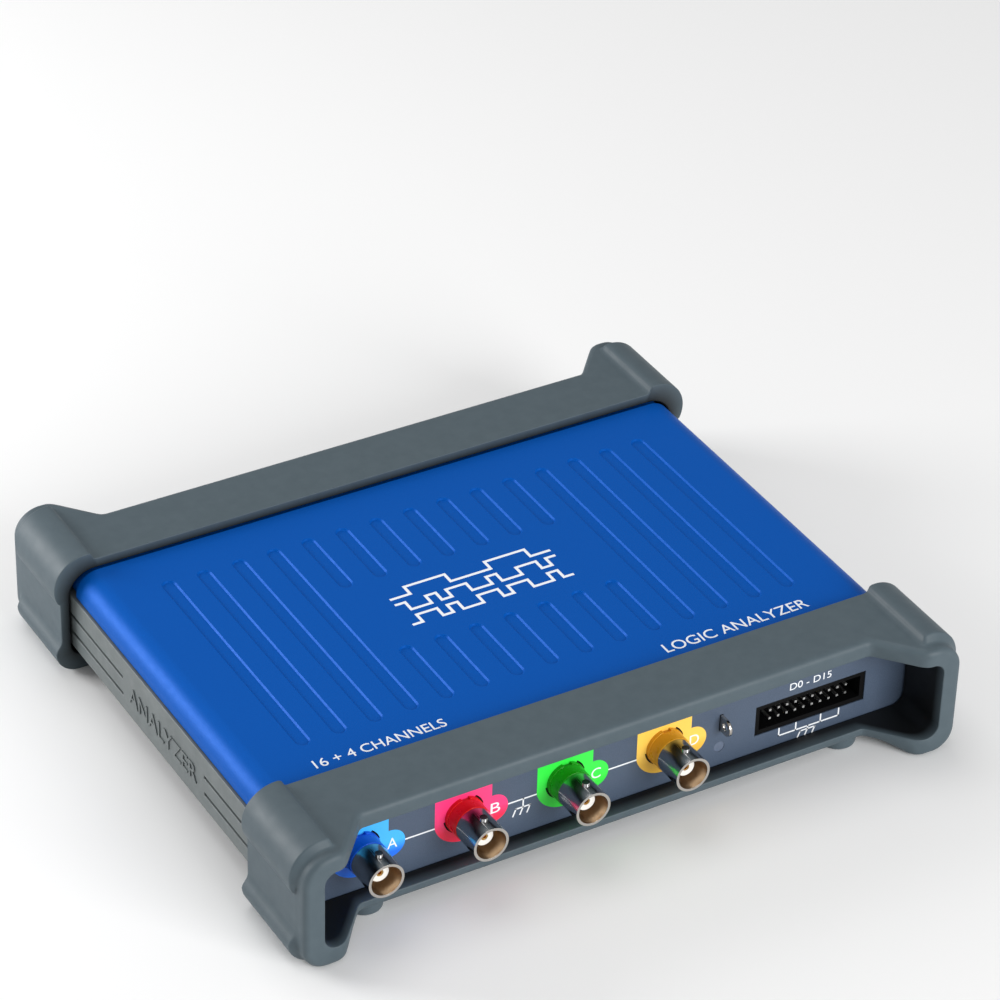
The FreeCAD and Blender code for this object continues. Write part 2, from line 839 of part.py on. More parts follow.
def bayonet(name, x, rear):
    """One coaxial socket in four pieces: plastic housing, metal shell, insulator and contact."""
    z = axis_z
    back = S.overlay_wall + S.panel_wall + S.part_gap - face_y
    flange = -face_y - S.boss_flange
    neck = -face_y - S.boss_reach
    rim = -face_y - S.shell_reach
    bore = S.stem_radius + S.stem_fit

    block = box(-S.block_half, back, board_top, S.block_half * 2, S.block_length, S.block_half * 2)
    boss = rod(0, back, z, S.boss_radius, back - flange)
    collar = rod(0, back, z, S.boss_neck_radius, back - neck)
    stem_hole = rod(0, back + S.block_length - 2, z, bore, S.block_length + S.shell_reach)
    keyway = box(-S.key_width / 2, flange - 0.1, z + S.boss_neck_radius - S.key_depth / 2,
                 S.key_width, S.boss_flange + 0.1, S.key_depth)
    housing = cut(fuse(block, boss, collar), stem_hole, keyway)
    keep(f"{name}_housing", turn_to(housing, x, rear))

    stem_back = back + S.block_length - 2 - S.part_gap
    stem = rod(0, stem_back, z, S.stem_radius, stem_back - neck + 1)
    barrel = rod(0, neck - 0.1, z, S.shell_radius, neck - 0.1 - rim)
    lugs = rod(0, rim + S.lug_back, z - S.shell_radius - S.lug_rise, S.lug_radius,
               (S.shell_radius + S.lug_rise) * 2, "+z")
    floor_y = neck - 0.8
    mouth = rod(0, floor_y, z, S.shell_bore, floor_y - rim + 1)
    core = rod(0, stem_back + 1, z, S.insulator_radius + S.stem_fit, S.case_length / 2)
    shell = cut(fuse(stem, barrel, lugs), mouth, core)
    keep(f"{name}_shell", turn_to(shell, x, rear))

    tube = rod(0, stem_back, z, S.insulator_radius, stem_back - rim - S.insulator_recess)
    hole = rod(0, stem_back + 1, z, S.contact_radius + S.stem_fit, S.case_length / 2)
    keep(f"{name}_insulator", turn_to(cut(tube, hole), x, rear))

    tip = rim + S.insulator_recess + 0.1
    pin = rod(0, stem_back, z, S.contact_radius, stem_back - tip)
    socket = rod(0, tip + 4, z, S.contact_bore, 5)
    keep(f"{name}_contact", turn_to(cut(pin, socket), x, rear))


def box_header():
    """The 20-way shrouded header for the digital inputs, and its 20 square pins."""
    front = S.overlay_wall - face_y
    wide, high = S.header_width, S.header_height
    x, z = header_x - wide / 2, header_z - high / 2
    wall = S.header_wall
    shroud = box(x, front, z, wide, S.header_depth, high)
    well = box(x + wall, front - 1, z + wall, wide - wall * 2, S.header_depth - S.header_floor + 1,
               high - wall * 2)
    body = cut(shroud, well)
    pins = []
    holes = []
    tip = S.pin_recess - face_y
    floor_back = front + S.header_depth
    half = S.pin_width / 2
    count = int(S.pin_columns.value)
    for column in range(count):
        for line in (-0.5, 0.5):
            px = header_x + S.pin_pitch * (column - (count - 1) / 2) - half
            pz = header_z + S.pin_pitch * line - half
            pins.append(box(px, tip, pz, S.pin_width, floor_back + 1.5 - tip, S.pin_width))
            slack = S.stem_fit
            side = S.pin_width + slack * 2
            holes.append(box(px - slack, floor_back - S.header_floor - 1, pz - slack, side,
                             S.header_floor + 2, side))
    keep("header_shroud", cut(body, *holes))
    keep("header_pins", group(*pins))


def probe_tab():
    """The flat test tab with a hole that a probe hooks into."""
    x = tab_x - S.tab_wall / 2
    end_y = S.tab_radius - face_y - S.tab_reach
    back = S.block_length - face_y
    strip = box(x, end_y, tab_z - S.tab_radius, S.tab_wall, back - end_y, S.tab_radius * 2)
    leg = box(x, back - 4, board_top, S.tab_wall, 4, tab_z - board_top)
    nose = rod(x, end_y, tab_z, S.tab_radius, S.tab_wall, "+x")
    hole = rod(x - 1, end_y, tab_z, S.tab_hole, S.tab_wall + 2, "+x")
    keep("probe_tab", cut(fuse(strip, leg, nose), hole))


def status_light():
    front = 0.1 - face_y
    board_edge_y = 1 - inside_y
    lens = rod(light_x, front, light_z, S.light_radius, board_edge_y - 0.2 - front, "+y")
    base = box(light_x - 2, board_edge_y - 0.2, board_top, 4, 3.5, 3)
    keep("status_light", fuse(lens, base))


def usb_socket():
    """A type B socket: folded metal shell round a plastic tongue."""
    outer = face_y - S.usb_length
    x = usb_x - S.usb_width / 2
    wall = S.usb_wall
    can = box(x, outer, board_top, S.usb_width, S.usb_length, S.usb_height)
    well = box(x + wall, outer + 3, board_top + wall, S.usb_width - wall * 2, S.usb_length,
               S.usb_height - wall * 2)
    keep("usb_shell", cut(can, well))
    tongue = box(usb_x - 2.6, outer + 3, board_top + 2.6, 5.2, S.usb_length - 4.5, 2.8)
    keep("usb_tongue", tongue)


def power_socket():
    """A barrel jack: square body, round bore and a centre pin."""
    front = face_y - S.overlay_wall - S.panel_wall - S.part_gap
    x = power_x - S.power_width / 2
    z = board_top + S.power_height / 2
    body = box(x, front - S.power_length, board_top, S.power_width, S.power_length, S.power_height)
    nose = rod(power_x, front, z, S.power_bore + 0.85, S.panel_wall + S.part_gap, "+y")
    bore = rod(power_x, front - 9, z, S.power_bore, 13, "+y")
    pin_hole = rod(power_x, front - 12, z, S.power_pin + S.stem_fit, 4, "+y")
    keep("power_jack_body", cut(fuse(body, nose), bore, pin_hole))
    keep("power_jack_pin", rod(power_x, front - 11.9, z, S.power_pin, 12.5, "+y"))


def earth_socket():
    """A 4 mm earth socket held in the rear panel by its flange and a nut."""
    z = axis_z
    inner = face_y - S.overlay_wall - S.panel_wall
    sleeve = rod(earth_x, face_y + 1.6, z, S.earth_radius, S.earth_length, "-y")
    flange = rod(earth_x, face_y + 1.6, z, S.earth_flange, 1.55, "-y")
    bore = rod(earth_x, face_y + 2.6, z, S.earth_bore, S.earth_length - 1, "-y")
    keep("earth_socket", cut(fuse(sleeve, flange), bore))
    nut = rod(earth_x, inner - 0.1, z, S.earth_flange + 0.6, 3.0, "-y")
    hole = rod(earth_x, inner + 1, z, S.earth_radius + S.stem_fit, 6, "-y")
    keep("earth_nut", cut(nut, hole))


# ---------------------------------------------------------------- electronics

def main_board():
    body = new_body("main_board")
    sketch = new_sketch(body, "XY", board_low)
    y = inside_y - 1
    notch = S.fan_side / 2 + 1.5
    deep = y - S.fan_depth - 1.5
    outline(
        sketch,
        (-board_half, -y),
        (board_half, -y),
        (board_half, y),
        (S.fan_x + notch, y),
        (S.fan_x + notch, deep),
        (S.fan_x - notch, deep),
        (S.fan_x - notch, y),
        (-board_half, y),
    )
    pad(body, "XY", sketch, S.board_wall, "+")
    holes = new_sketch(body, "XY", board_low)
    for x, hole_y in spacer_places():
        circle(holes, x, hole_y, S.screw_radius + 0.1)
    pocket(body, "XY", holes, S.board_wall, "+")


def board_mounting():
    spacers = []
    screws = []
    floor = case_low + S.sheet_wall
    for x, y in spacer_places():
        ring = rod(x, y, floor, S.spacer_radius, S.board_lift, "+z")
        hole = rod(x, y, floor - 1, S.screw_radius, S.board_lift + 2, "+z")
        spacers.append(cut(ring, hole))
        head = rod(x, y, board_top, S.screw_head_radius, 1.6, "+z")
        shank = rod(x, y, case_low + 0.2, S.screw_radius - 0.05, board_top - case_low, "+z")
        screws.append(fuse(head, shank))
    keep("board_spacers", group(*spacers))
    keep("board_screws", group(*screws))


def chips(label, side_x, side_y, height, places):
    """A group of equal flat packages standing on the board."""
    made = [box(x - side_x / 2, y - side_y / 2, board_top, side_x, side_y, height) for x, y in places]
    keep(label, group(*made) if len(made) > 1 else made[0])


def electronics():
    chips("processor_chip", S.processor_side, S.processor_side, S.processor_height, [PROCESSOR])
    chips("memory_chips", 11, 8, 1.1, [(46, 12), (46, -2), (46, 26)])
    chips("converter_chips", 9, 9, 1.0, [(-48, -6), (-20, -6)])
    chips("usb_controller", 10, 10, 1.0, [(-18, 34)])
    chips("clock_crystal", 5, 3.2, 1.2, [(-8, 14)])
    chips("input_relays", 10, 6.5, 5.0, [(x, -45.5) for _, x in inputs])
    shield_y = -26
    cans = []
    for _, x in inputs:
        low_x = x + 2.4 - S.shield_width / 2
        low_y = shield_y - S.shield_length / 2
        can = box(low_x, low_y, board_top, S.shield_width, S.shield_length, S.shield_height)
        wall = S.shield_wall
        hollow = box(low_x + wall, low_y + wall, board_top - 1, S.shield_width - wall * 2,
                     S.shield_length - wall * 2, S.shield_height - wall + 1)
        cans.append(cut(can, hollow))
    keep("input_shields", group(*cans))
    tanks = [rod(x, y, board_top, 4, 11, "+z") for x, y in ((-44, 36), (-55, 36), (-66, 36))]
    keep("power_capacitors", group(*tanks))
    chokes = [box(x - 6, 14, board_top, 12, 12, 5) for x in (-58, -40)]
    keep("power_inductors", group(*chokes))


def heat_sink():
    """A finned block that sits on the processor."""
    body = new_body("heat_sink")
    low = board_top + S.processor_height
    base = new_sketch(body, "XY", low)
    half = S.sink_side / 2
    cx, cy = PROCESSOR
    rectangle(base, cx - half, cy - half, cx + half, cy + half)
    pad(body, "XY", base, S.sink_base, "+")
    fin = new_sketch(body, "XY", low)
    rectangle(fin, cx - half, cy - half, cx - half + S.fin_wall, cy + half)
    first = pad(body, "XY", fin, S.sink_height, "+")
    pitch = (S.sink_side - S.fin_wall) / (S.fin_count - 1)
    row_of(body, first, fin, "H_Axis", pitch, S.fin_count)


def cooling_fan():
    """A 20 mm fan behind the grille: square frame with a bearing, and a bladed rotor."""
    x, z = S.fan_x, axis_z
    back = face_y - S.overlay_wall - S.panel_wall - 0.1
    half = S.fan_side / 2
    front = back - S.fan_depth
    block = box(x - half, front, z - half, S.fan_side, S.fan_depth, S.fan_side)
    duct = rod(x, front - 1, z, S.fan_bore, S.fan_depth + 2, "+y")
    stator = rod(x, front, z, 3.2, 1.6, "+y")
    arms = [box(x - half + 0.4, front, z - 0.6, S.fan_side - 0.8, 1.2, 1.2),
            box(x - 0.6, front, z - half + 0.4, 1.2, 1.2, S.fan_side - 0.8)]
    bearing = rod(x, front - 1, z, S.fan_shaft + S.fan_fit, 6, "+y")
    keep("fan_frame", cut(fuse(cut(block, duct), stator, *arms), bearing))

    hub_y = front + 1.9
    hub = rod(x, hub_y, z, S.fan_hub, S.fan_depth - 2.4, "+y")
    shaft = rod(x, front + 0.2, z, S.fan_shaft, 2.4, "+y")
    tip = S.fan_bore - S.fan_tip_gap
    blades = []
    count = int(S.fan_blades.value)
    for k in range(count):
        blade = named("Part::Box", "blade")
        bind(blade, "Length", tip - S.fan_hub + 1)
        bind(blade, "Width", S.fan_depth - 3.6)
        bind(blade, "Height", 0.7)
        lean = Placement(Vector(), Rotation(Vector(1, 0, 0), 32))
        out = Placement(Vector(S.fan_hub.value - 1, 0, 0), Rotation())
        swing = Placement(Vector(), Rotation(Vector(0, 1, 0), 360.0 / count * (k + 0.5)))
        centre = Placement(Vector(x.value, hub_y.value + 0.8, z.value), Rotation())
        blade.Placement = centre * swing * out * lean
        blades.append(blade)
    ring = rod(x, hub_y, z, tip, S.fan_depth - 2.4, "+y")
    rotor = named("Part::MultiCommon", "trimmed")
    rotor.Shapes = [ring, fuse(*blades)]
    keep("fan_rotor", fuse(hub, shaft, rotor))


# ---------------------------------------------------------------- build and check

def check():
    """Stops the build unless every object and every sub-part's shape is sound."""
    doc.recompute()
    faults = [o.Name for o in doc.Objects if {"Invalid", "Error"} & set(o.State)]
    for label, thing in nodes.items():
        if thing.Shape.isNull() or not thing.Shape.isValid() or not thing.Shape.Solids:
            faults.append(label)
    if faults:
        raise RuntimeError(f"these failed: {faults}")


def write_parts():
    os.makedirs("parts", exist_ok=True)
    for label, thing in nodes.items():
        thing.Shape.exportStep(f"parts/{label}.step")
        print(f"{label:24s} {len(thing.Shape.Solids):3d} solids {thing.Shape.Volume:10.1f} mm3")
    print(len(nodes), "nodes")


top_cover()
bottom_cover()
side_rail("left_side_rail", False)
side_rail("right_side_rail", True)
case_screws()
front_panel()
rear_panel()
bumper("front_bumper", False)
bumper("rear_bumper", True)
for letter, place_x in inputs:
    bayonet(f"input_{letter}", place_x, False)
for word, place_x in rear_sockets:
    bayonet(word, place_x, True)
box_header()
probe_tab()
status_light()
usb_socket()
power_socket()
earth_socket()
main_board()
board_mounting()
electronics()
heat_sink()
cooling_fan()
check()
write_parts()
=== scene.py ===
# %% [markdown]
# # A USB logic analyzer for the bench
# The instrument is a flat metal box with a rubber bumper at each end. The CAD model gives
# every piece its true size and place, so this lesson starts by loading it, and then works
# on what the eye sees: soft rubber edges, satin paint, bright connectors and fine printing.

# %% Load the frame
import bpy
import bmesh
import json
import math
from mathutils import Matrix, Vector

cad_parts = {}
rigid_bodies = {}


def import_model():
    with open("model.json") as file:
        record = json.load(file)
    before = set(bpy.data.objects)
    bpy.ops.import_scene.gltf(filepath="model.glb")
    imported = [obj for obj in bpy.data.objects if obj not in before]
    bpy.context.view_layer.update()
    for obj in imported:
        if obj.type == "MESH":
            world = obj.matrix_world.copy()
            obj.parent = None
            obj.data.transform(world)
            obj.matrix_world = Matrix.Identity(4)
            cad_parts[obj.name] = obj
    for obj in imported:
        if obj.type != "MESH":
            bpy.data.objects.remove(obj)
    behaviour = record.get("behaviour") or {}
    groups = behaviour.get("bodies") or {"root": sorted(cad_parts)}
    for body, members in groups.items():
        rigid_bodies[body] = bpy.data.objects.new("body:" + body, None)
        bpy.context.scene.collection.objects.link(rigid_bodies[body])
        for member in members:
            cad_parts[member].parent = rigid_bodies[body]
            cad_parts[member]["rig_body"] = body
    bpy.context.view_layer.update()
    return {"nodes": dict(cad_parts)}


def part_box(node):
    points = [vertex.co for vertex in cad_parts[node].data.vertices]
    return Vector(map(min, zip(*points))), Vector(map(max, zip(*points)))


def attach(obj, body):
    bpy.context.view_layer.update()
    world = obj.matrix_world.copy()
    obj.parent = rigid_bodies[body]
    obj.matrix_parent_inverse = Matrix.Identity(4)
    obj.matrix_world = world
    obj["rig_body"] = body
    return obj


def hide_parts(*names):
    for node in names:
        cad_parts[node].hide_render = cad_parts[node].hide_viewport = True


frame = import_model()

nodes = frame["nodes"]
MM = 0.001                          # one millimetre in metres

# %% [markdown]
# ## Helpers for materials
# Each finish is a small node tree: a Principled shader, with noise for the colour and a bump
# for the grain. Object coordinates are used, since every piece lies in the same frame and
# the grain then has the same scale everywhere. A colour that doesn't vary is set on the
# shader's own socket, and grain depths are in metres.

# %% Material helpers
def srgb(red, green, blue):
    """A colour given as 0 to 255, as the linear values that shaders use."""
    def linear(level):
        level /= 255
        return level / 12.92 if level <= 0.04045 else ((level + 0.055) / 1.055) ** 2.4
    return linear(red), linear(green), linear(blue), 1.0


def finish_of(name, color, rough, metal=0.0, coat=0.0, specular=0.5):
    """A new material with a plain Principled shader, for the helpers below to work on."""
    material = bpy.data.materials.new(name)
    material.use_nodes = True
    shader = material.node_tree.nodes["Principled BSDF"]
    shader.inputs["Base Color"].default_value = color
    shader.inputs["Roughness"].default_value = rough
    shader.inputs["Metallic"].default_value = metal
    shader.inputs["Coat Weight"].default_value = coat
    shader.inputs["Specular IOR Level"].default_value = specular
    return material


def noise(material, scale, detail=2.0, roughness=0.5):
    """Noise over the piece, with its size set in features per metre."""
    tree = material.node_tree
    place = tree.nodes.new("ShaderNodeTexCoord")
    texture = tree.nodes.new("ShaderNodeTexNoise")
    texture.inputs["Scale"].default_value = scale
    texture.inputs["Detail"].default_value = detail
    texture.inputs["Roughness"].default_value = roughness
    tree.links.new(place.outputs["Object"], texture.inputs["Vector"])
    return texture.outputs["Fac"]


NOISE_LOW, NOISE_HIGH = 0.3, 0.7    # nearly all of a noise lies between these


def vary_color(material, fac, dark, light):
    """The colour drifts from dark to light as the noise does."""
    tree = material.node_tree
    ramp = tree.nodes.new("ShaderNodeValToRGB")
    ramp.color_ramp.elements[0].position = NOISE_LOW
    ramp.color_ramp.elements[1].position = NOISE_HIGH
    ramp.color_ramp.elements[0].color = dark
    ramp.color_ramp.elements[1].color = light
    tree.links.new(fac, ramp.inputs["Fac"])
    tree.links.new(ramp.outputs["Color"], tree.nodes["Principled BSDF"].inputs["Base Color"])


def vary_rough(material, fac, low, high):
    """The roughness drifts between low and high as the noise does."""
    tree = material.node_tree
    spread = tree.nodes.new("ShaderNodeMapRange")
    spread.inputs["From Min"].default_value = NOISE_LOW
    spread.inputs["From Max"].default_value = NOISE_HIGH
    spread.inputs["To Min"].default_value = low
    spread.inputs["To Max"].default_value = high
    tree.links.new(fac, spread.inputs["Value"])
    tree.links.new(spread.outputs["Result"], tree.nodes["Principled BSDF"].inputs["Roughness"])


def grain(material, fac, depth, strength=1.0):
    """A bump as deep as depth, in metres."""
    tree = material.node_tree
    bump = tree.nodes.new("ShaderNodeBump")
    bump.inputs["Distance"].default_value = depth
    bump.inputs["Strength"].default_value = strength
    tree.links.new(fac, bump.inputs["Height"])
    tree.links.new(bump.outputs["Normal"], tree.nodes["Principled BSDF"].inputs["Normal"])


def paint_shade_by(material, attribute, dark):
    """Painted shade: the colour goes over to dark as the attribute of the mesh goes from 0 to 1.
    """
    tree = material.node_tree
    color = tree.nodes["Principled BSDF"].inputs["Base Color"]
    reader = tree.nodes.new("ShaderNodeAttribute")
    reader.attribute_name = attribute
    mix = tree.nodes.new("ShaderNodeMix")
    mix.data_type = "RGBA"
    factor, light, deep = [mix.inputs[k] for k in (0, 6, 7)]
    tree.links.new(reader.outputs["Fac"], factor)
    tree.links.new(color.links[0].from_socket, light)
    deep.default_value = dark
    tree.links.new(mix.outputs[2], color)


print("material helpers ready")

# %% [markdown]
# ## Rubber and grey plastic
# The bumpers are moulded in a soft grey rubber with a satin skin: a broad, dim highlight, a
# very fine grain and a faint cloudiness. Little light gets into the window that frames the
# connectors, and the rubber looks nearly black in there, so shade is painted into the colour
# there: an attribute on the mesh takes the colour down. The side rails are a harder plastic
# of nearly the same grey, a little glossier.

# %% Rubber and rail plastic
rubber = finish_of("satin_grey_rubber", srgb(76, 89, 96), 0.5, specular=0.3)
vary_color(rubber, noise(rubber, 320, 3), srgb(74, 87, 94), srgb(78, 91, 98))
vary_rough(rubber, noise(rubber, 300, 2), 0.47, 0.53)
grain(rubber, noise(rubber, 2600, 3, 0.6), 0.00004, 0.35)
# painted shade: the rubber in the connector window is taken down to nearly black
paint_shade_by(rubber, "painted_window_shade", srgb(12, 14, 16))

rail_plastic = finish_of("moulded_grey_plastic", srgb(96, 103, 104), 0.42)
vary_color(rail_plastic, noise(rail_plastic, 90, 3), srgb(92, 99, 100), srgb(100, 107, 108))
vary_rough(rail_plastic, noise(rail_plastic, 300, 2), 0.36, 0.48)
grain(rail_plastic, noise(rail_plastic, 3400, 2), 0.00003, 0.3)
print("rubber and rail plastic")

# %% [markdown]
# ## Metallic blue paint
# The cover is pressed sheet with a satin blue paint. Tiny flakes in the paint give the
# surface a fine sparkle, so the shader is a little metallic and its colour has a very fine
# noise. The tray below wears a dark grey paint.

# %% Blue paint and tray paint
blue_paint = finish_of("satin_blue_paint", srgb(0, 82, 170), 0.43, metal=0.14, specular=0.08)
vary_color(blue_paint, noise(blue_paint, 5200, 1), srgb(0, 79, 167), srgb(0, 87, 179))
vary_rough(blue_paint, noise(blue_paint, 700, 3), 0.4, 0.47)
grain(blue_paint, noise(blue_paint, 4200, 2), 0.00002, 0.3)

tray_paint = finish_of("satin_dark_paint", srgb(70, 76, 80), 0.5, metal=0.2)
vary_color(tray_paint, noise(tray_paint, 120, 3), srgb(66, 72, 76), srgb(76, 82, 86))
grain(tray_paint, noise(tray_paint, 3800, 2), 0.00003, 0.4)
print("paints")

# %% [markdown]
# ## Panels, overlays and printing
# A thin textured sheet covers each end panel. Its dark slate colour shows a fine speckle,
# which is the texture of the film. Printing on it is a flat ink, in white and in the
# four channel colours; the channel colours darken towards the foot of each patch, as painted
# shade.

# %% Panel, overlay and inks
panel_plastic = finish_of("black_panel_plastic", srgb(26, 28, 32), 0.5)
grain(panel_plastic, noise(panel_plastic, 2500, 2), 0.00003, 0.4)

overlay_film = finish_of("slate_overlay_film", srgb(70, 84, 104), 0.45)
vary_color(overlay_film, noise(overlay_film, 4200, 2), srgb(62, 76, 94), srgb(78, 92, 113))
vary_rough(overlay_film, noise(overlay_film, 260, 2), 0.4, 0.52)
grain(overlay_film, noise(overlay_film, 3600, 2), 0.00003, 0.5)

white_ink = finish_of("white_ink", srgb(240, 243, 246), 0.45)
grain(white_ink, noise(white_ink, 5000, 1), 0.00001, 0.2)


PATCH_SHADE_LOW, PATCH_SHADE_HIGH = 0.011, 0.019    # painted shade: the patches darken below these heights


def shaded_ink_of(name, deep, light):
    """A coloured printing ink with painted shade: deep at the foot of its patch and light from the
    middle up.
    """
    ink = finish_of(name, srgb(*light), 0.42)
    tree = ink.node_tree
    place = tree.nodes.new("ShaderNodeTexCoord")
    height = tree.nodes.new("ShaderNodeSeparateXYZ")
    part = tree.nodes.new("ShaderNodeMapRange")
    part.inputs["From Min"].default_value = PATCH_SHADE_LOW
    part.inputs["From Max"].default_value = PATCH_SHADE_HIGH
    tree.links.new(place.outputs["Object"], height.inputs["Vector"])
    tree.links.new(height.outputs["Z"], part.inputs["Value"])
    vary_color(ink, part.outputs["Result"], srgb(*deep), srgb(*light))
    grain(ink, noise(ink, 3600, 2), 0.00002, 0.3)
    return ink


# painted shade: each channel colour deepens towards the foot of its patch, under the connector
channel_inks = {
    "a": shaded_ink_of("light_blue_ink", (16, 110, 235), (64, 184, 255)),
    "b": shaded_ink_of("rose_ink", (250, 36, 78), (255, 60, 128)),
    "c": shaded_ink_of("light_green_ink", (48, 222, 60), (54, 244, 74)),
    "d": shaded_ink_of("light_yellow_ink", (232, 182, 60), (255, 208, 88)),
}
print("panel, overlay and", len(channel_inks), "channel inks")

# %% [markdown]
# ## Coloured plastic, metals and the inside
# The connector bodies are glossy moulded plastic in strong colours. Their shells are nickel
# plated, the contacts gold plated, and the insulators a white plastic that scatters light.
# What is inside the closed case gets its own finish too, for whoever takes the cover off.

# %% Connector and inner finishes
def gloss_of(name, red, green, blue, rough=0.3):
    """Glossy moulded plastic with faint flow marks."""
    plastic = finish_of(name, srgb(red, green, blue), rough)
    vary_rough(plastic, noise(plastic, 500, 2), rough - 0.05, rough + 0.08)
    grain(plastic, noise(plastic, 1500, 2), 0.00002, 0.2)
    return plastic


channel_plastics = {
    "a": gloss_of("blue_connector_plastic", 0, 84, 210),
    "b": gloss_of("red_connector_plastic", 222, 14, 14),
    "c": gloss_of("green_connector_plastic", 24, 150, 6),
    "d": gloss_of("yellow_connector_plastic", 214, 152, 28),
}
black_plastic = gloss_of("black_connector_plastic", 16, 16, 18, 0.4)
# the header's own black, also used for painted shade: the arcs round the bosses and the tops of
# the blocks
black_plastic_and_painted_shade = finish_of("dead_black_plastic_and_painted_shade", srgb(7, 7, 8), 0.6, specular=0.12)
grain(black_plastic_and_painted_shade, noise(black_plastic_and_painted_shade, 2400, 2), 0.00002, 0.3)


def metal_of(name, red, green, blue, low, high):
    """Plated or bare metal with slightly uneven polish."""
    metal = finish_of(name, srgb(red, green, blue), low, metal=1.0)
    vary_rough(metal, noise(metal, 500, 2), low, high)
    vary_color(metal, noise(metal, 200, 2), srgb(red, green, blue),
               srgb(min(255, red + 5), min(255, green + 5), min(255, blue + 5)))
    return metal


nickel = metal_of("nickel_plate", 190, 186, 180, 0.1, 0.18)
# painted shade: the shells' outside wears this darker nickel
dull_shaded_nickel = metal_of("dull_nickel_painted_dark", 168, 168, 168, 0.15, 0.18)
# painted reflection: the warm tint of the bores
bore_reflection_paint = metal_of("bore_plate_painted_reflection", 200, 172, 140, 0.3, 0.36)
gold = metal_of("gold_plate", 214, 170, 92, 0.18, 0.3)
brass = metal_of("turned_brass", 196, 158, 92, 0.25, 0.35)
steel = metal_of("zinc_plated_steel", 170, 172, 176, 0.3, 0.42)
tin = metal_of("tinned_metal", 206, 206, 204, 0.3, 0.4)
aluminium = metal_of("bare_aluminium", 186, 188, 192, 0.32, 0.45)

insulator = finish_of("white_insulator", srgb(238, 238, 234), 0.35)
grain(insulator, noise(insulator, 2400, 2), 0.00001, 0.2)
lens = finish_of("smoked_light_lens", srgb(92, 104, 124), 0.2)
vary_rough(lens, noise(lens, 900, 2), 0.16, 0.26)
solder_mask = finish_of("green_solder_mask", srgb(20, 92, 52), 0.3, coat=0.3)
vary_color(solder_mask, noise(solder_mask, 260, 4), srgb(16, 82, 46), srgb(28, 104, 60))
epoxy = finish_of("black_chip_epoxy", srgb(30, 30, 32), 0.6)
grain(epoxy, noise(epoxy, 5000, 2), 0.00002, 0.4)
relay_case = finish_of("cream_relay_case", srgb(214, 208, 192), 0.45)
grain(relay_case, noise(relay_case, 2600, 2), 0.00002, 0.3)
ferrite = finish_of("dark_ferrite", srgb(52, 52, 56), 0.7)
vary_color(ferrite, noise(ferrite, 1800, 3), srgb(44, 44, 48), srgb(60, 60, 64))
print("connector finishes and inner finishes")

# %% [markdown]
# ## Give every CAD node its finish
# A node keeps its mesh, and only its material changes. The list below reads like a parts
# list: the finish, and the nodes that wear it.

# %% Finishes for the nodes
def wears(material, *names):
    """The named nodes get this material and nothing else."""
    for name in names:
        nodes[name].data.materials.clear()
        nodes[name].data.materials.append(material)


wears(rubber, "front_bumper", "rear_bumper")
wears(rail_plastic, "left_side_rail", "right_side_rail")
wears(blue_paint, "top_cover")
wears(tray_paint, "bottom_cover")
wears(panel_plastic, "front_panel", "rear_panel", "fan_frame", "fan_rotor")
wears(overlay_film, "front_overlay", "rear_overlay")
for letter, plastic in channel_plastics.items():
    wears(plastic, f"input_{letter}_housing")
sockets = [f"input_{letter}" for letter in "abcd"] + ["generator", "trigger"]
for socket in sockets:
    wears(dull_shaded_nickel, f"{socket}_shell")
    wears(insulator, f"{socket}_insulator")
    wears(gold, f"{socket}_contact")
wears(black_plastic, "generator_housing", "trigger_housing", "usb_tongue", "power_jack_body")
wears(black_plastic_and_painted_shade, "header_shroud")
wears(tin, "header_pins")
wears(nickel, "probe_tab", "usb_shell", "power_jack_pin", "earth_socket", "earth_nut")
wears(lens, "status_light")
wears(solder_mask, "main_board")
wears(brass, "board_spacers")
wears(steel, "board_screws", "case_screws")
wears(epoxy, "processor_chip", "memory_chips", "converter_chips", "usb_controller")
wears(tin, "clock_crystal", "input_shields")
wears(relay_case, "input_relays")
wears(aluminium, "power_capacitors", "heat_sink")
wears(ferrite, "power_inductors")
print("finishes set on", len(nodes), "nodes")

# %% [markdown]
# ## Smooth copies of the turned and pressed parts
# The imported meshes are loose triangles, so a round shell shows its facets. A copy with its
# points merged can be shaded smoothly. Edges steeper than a set angle stay crisp, and a
# narrow bevel on them catches the light, as a real broken edge does. Weighted normals keep
# the flat faces flat.

# %% Copies with soft edges
MERGE_GAP = 0.000002                # points closer than this are one point
FLAT_ANGLE = math.radians(0.6)      # faces that turn less than this are one face


def soft_copy(name, width, angle=34.0):
    """A merged copy of a node with a fine bevel on its crisp edges; it stands for the node."""
    source = nodes[name]
    mesh = source.data.copy()
    piece = bpy.data.objects.new(f"{name}_visual", mesh)
    bpy.context.scene.collection.objects.link(piece)
    shape = bmesh.new()
    shape.from_mesh(mesh)
    bmesh.ops.remove_doubles(shape, verts=shape.verts, dist=MERGE_GAP)
    bmesh.ops.dissolve_limit(shape, angle_limit=FLAT_ANGLE, verts=shape.verts,
                             edges=shape.edges)
    shape.to_mesh(mesh)
    shape.free()
    mesh.shade_smooth()
    bevel = piece.modifiers.new("broken_edges", "BEVEL")
    bevel.width = width
    bevel.segments = 2
    bevel.limit_method = "ANGLE"
    bevel.angle_limit = math.radians(angle)
    bevel.harden_normals = False
    bevel.use_clamp_overlap = True
    weighted = piece.modifiers.new("flat_faces", "WEIGHTED_NORMAL")
    weighted.keep_sharp = True
    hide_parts(name)
    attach(piece, source["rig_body"])
    return piece


